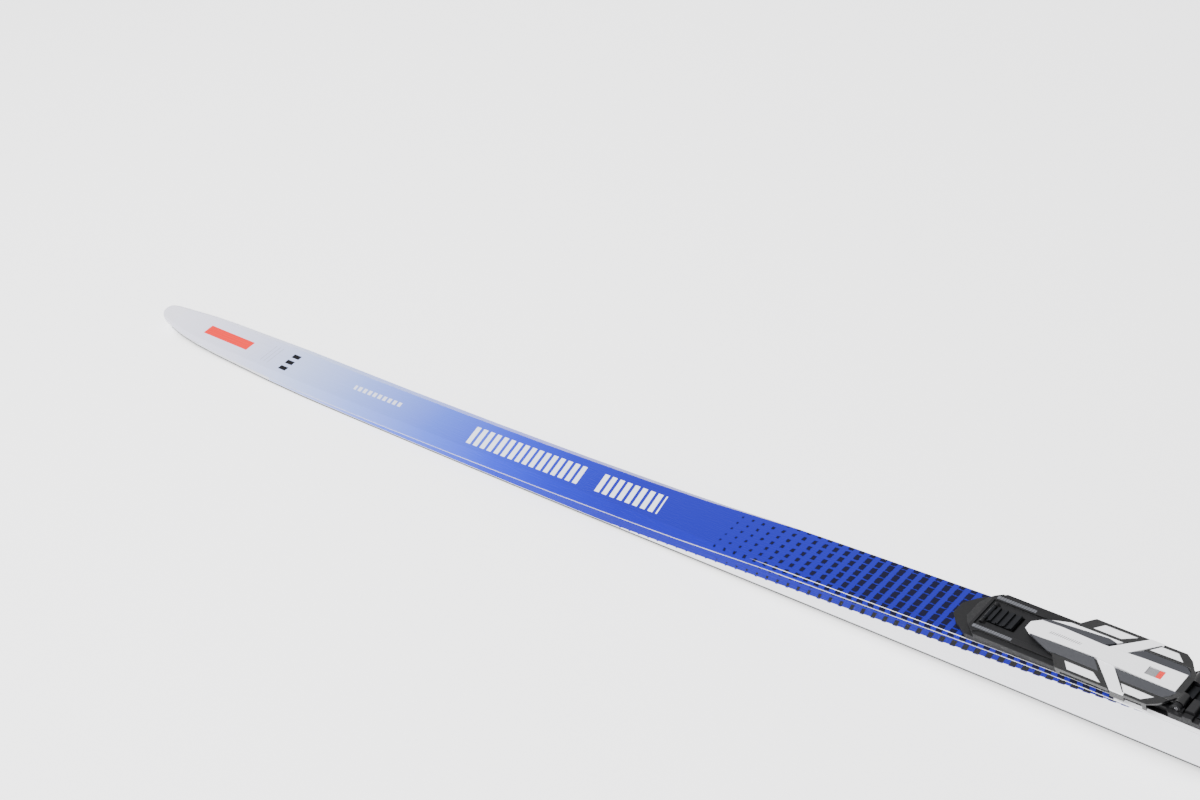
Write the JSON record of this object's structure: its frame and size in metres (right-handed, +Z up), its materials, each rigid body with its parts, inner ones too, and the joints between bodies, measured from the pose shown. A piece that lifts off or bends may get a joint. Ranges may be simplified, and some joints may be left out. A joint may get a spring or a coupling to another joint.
{
  "type": "cross country ski",
  "caption": "Slim skating ski with a raised blunt tip, camber, rail plate, lever toe binding that grips a boot's toe bar, and a padded heel rest.",
  "frame": {"origin": "bottom centre of the ski's box, on the plane the unloaded ski rests on", "axes": "+X along the ski towards the tip, +Y to the left, +Z up"},
  "size_m": [1.87, 0.049, 0.0604],
  "materials": {
    "base_black": "sintered polyethylene running base, satin",
    "laminate": "carbon and glass laminate",
    "core_foam": "light foam core",
    "sidewall_blue": "sidewall plastic, blue in front and white further back",
    "top_blue": "lacquered top sheet, white fading to blue, with a checker pattern",
    "tip_white": "hard white tip",
    "tail_white": "hard white tail",
    "plate_black": "moulded plate",
    "screw_steel": "zinc plated steel",
    "toe_black": "glass filled nylon",
    "scale_grey": "grey moulded strip",
    "steel": "stainless steel",
    "rubber_black": "soft black elastomer",
    "lever_white": "white moulded plastic",
    "frame_black": "black over-moulded frame",
    "facet_grey": "dark grey moulded inlay",
    "mark_red": "red mark",
    "heel_white": "white moulded plastic"
  },
  "bodies": {
    "ski": {"running_base": "base_black", "lower_laminate": "laminate", "core": "core_foam", "sidewall_left": "sidewall_blue", "sidewall_right": "sidewall_blue", "upper_laminate": "laminate", "top_sheet": "top_blue", "tip_protector": "tip_white", "tail_protector": "tail_white", "mounting_plate": "plate_black", "plate_screws": "screw_steel"},
    "toe_unit": {"toe_base": "toe_black", "guide_rail": "toe_black", "scale_strips": "scale_grey", "toe_bar_saddle": "steel", "flexor": "rubber_black", "lever_pins": "steel", "position_clamp_pin": "steel", "position_clamp_spring": "steel"},
    "toe_lever": {"lever_body": "lever_white", "lever_hinge_end": "frame_black", "lever_frame_left": "frame_black", "lever_frame_right": "frame_black", "lever_facets_left": "facet_grey", "lever_facets_right": "facet_grey", "crank_pin": "steel", "latch_window": "steel", "shut_mark": "mark_red"},
    "jaw": {"jaw": "steel"},
    "position_clamp": {"position_clamp": "toe_black"},
    "heel_unit": {"heel_base": "toe_black", "heel_shell": "heel_white", "heel_pad_front": "rubber_black", "heel_pad_middle": "rubber_black", "heel_pad_rear": "rubber_black", "heel_stop": "rubber_black", "heel_clamp_pin": "steel", "heel_clamp_spring": "steel"},
    "heel_clamp": {"heel_clamp": "toe_black"}
  },
  "joints": [
    {"name": "toe_slide", "type": "slide", "parent": "ski", "child": "toe_unit", "axis": [1, 0, 0], "range_m": [0, 0.015]},
    {"name": "heel_slide", "type": "slide", "parent": "ski", "child": "heel_unit", "axis": [1, 0, 0], "range_m": [-0.01, 0]},
    {"name": "lever_hinge", "type": "hinge", "parent": "toe_unit", "child": "toe_lever", "pos_m": [-0.0955, 0, 0.0459], "axis": [0, -1, 0], "range_deg": [0, 65]},
    {"name": "jaw_slide", "type": "slide", "parent": "toe_unit", "child": "jaw", "axis": [1, 0, 0], "range_m": [0, 0.0029]},
    {"name": "position_clamp_hinge", "type": "hinge", "parent": "toe_unit", "child": "position_clamp", "pos_m": [0.053, 0, 0.04375], "axis": [0, 1, 0], "range_deg": [0, 12], "stiffness_Nm_per_rad": 0.0006, "springref_deg": -20.05},
    {"name": "heel_clamp_hinge", "type": "hinge", "parent": "heel_unit", "child": "heel_clamp", "pos_m": [-0.371, 0, 0.04375], "axis": [0, 1, 0], "range_deg": [0, 12], "stiffness_Nm_per_rad": 0.0006, "springref_deg": -20.05}
  ],
  "couplings": [
    {"joint": "jaw_slide", "follows": "lever_hinge", "m_per_rad": 0.00255}
  ]
}
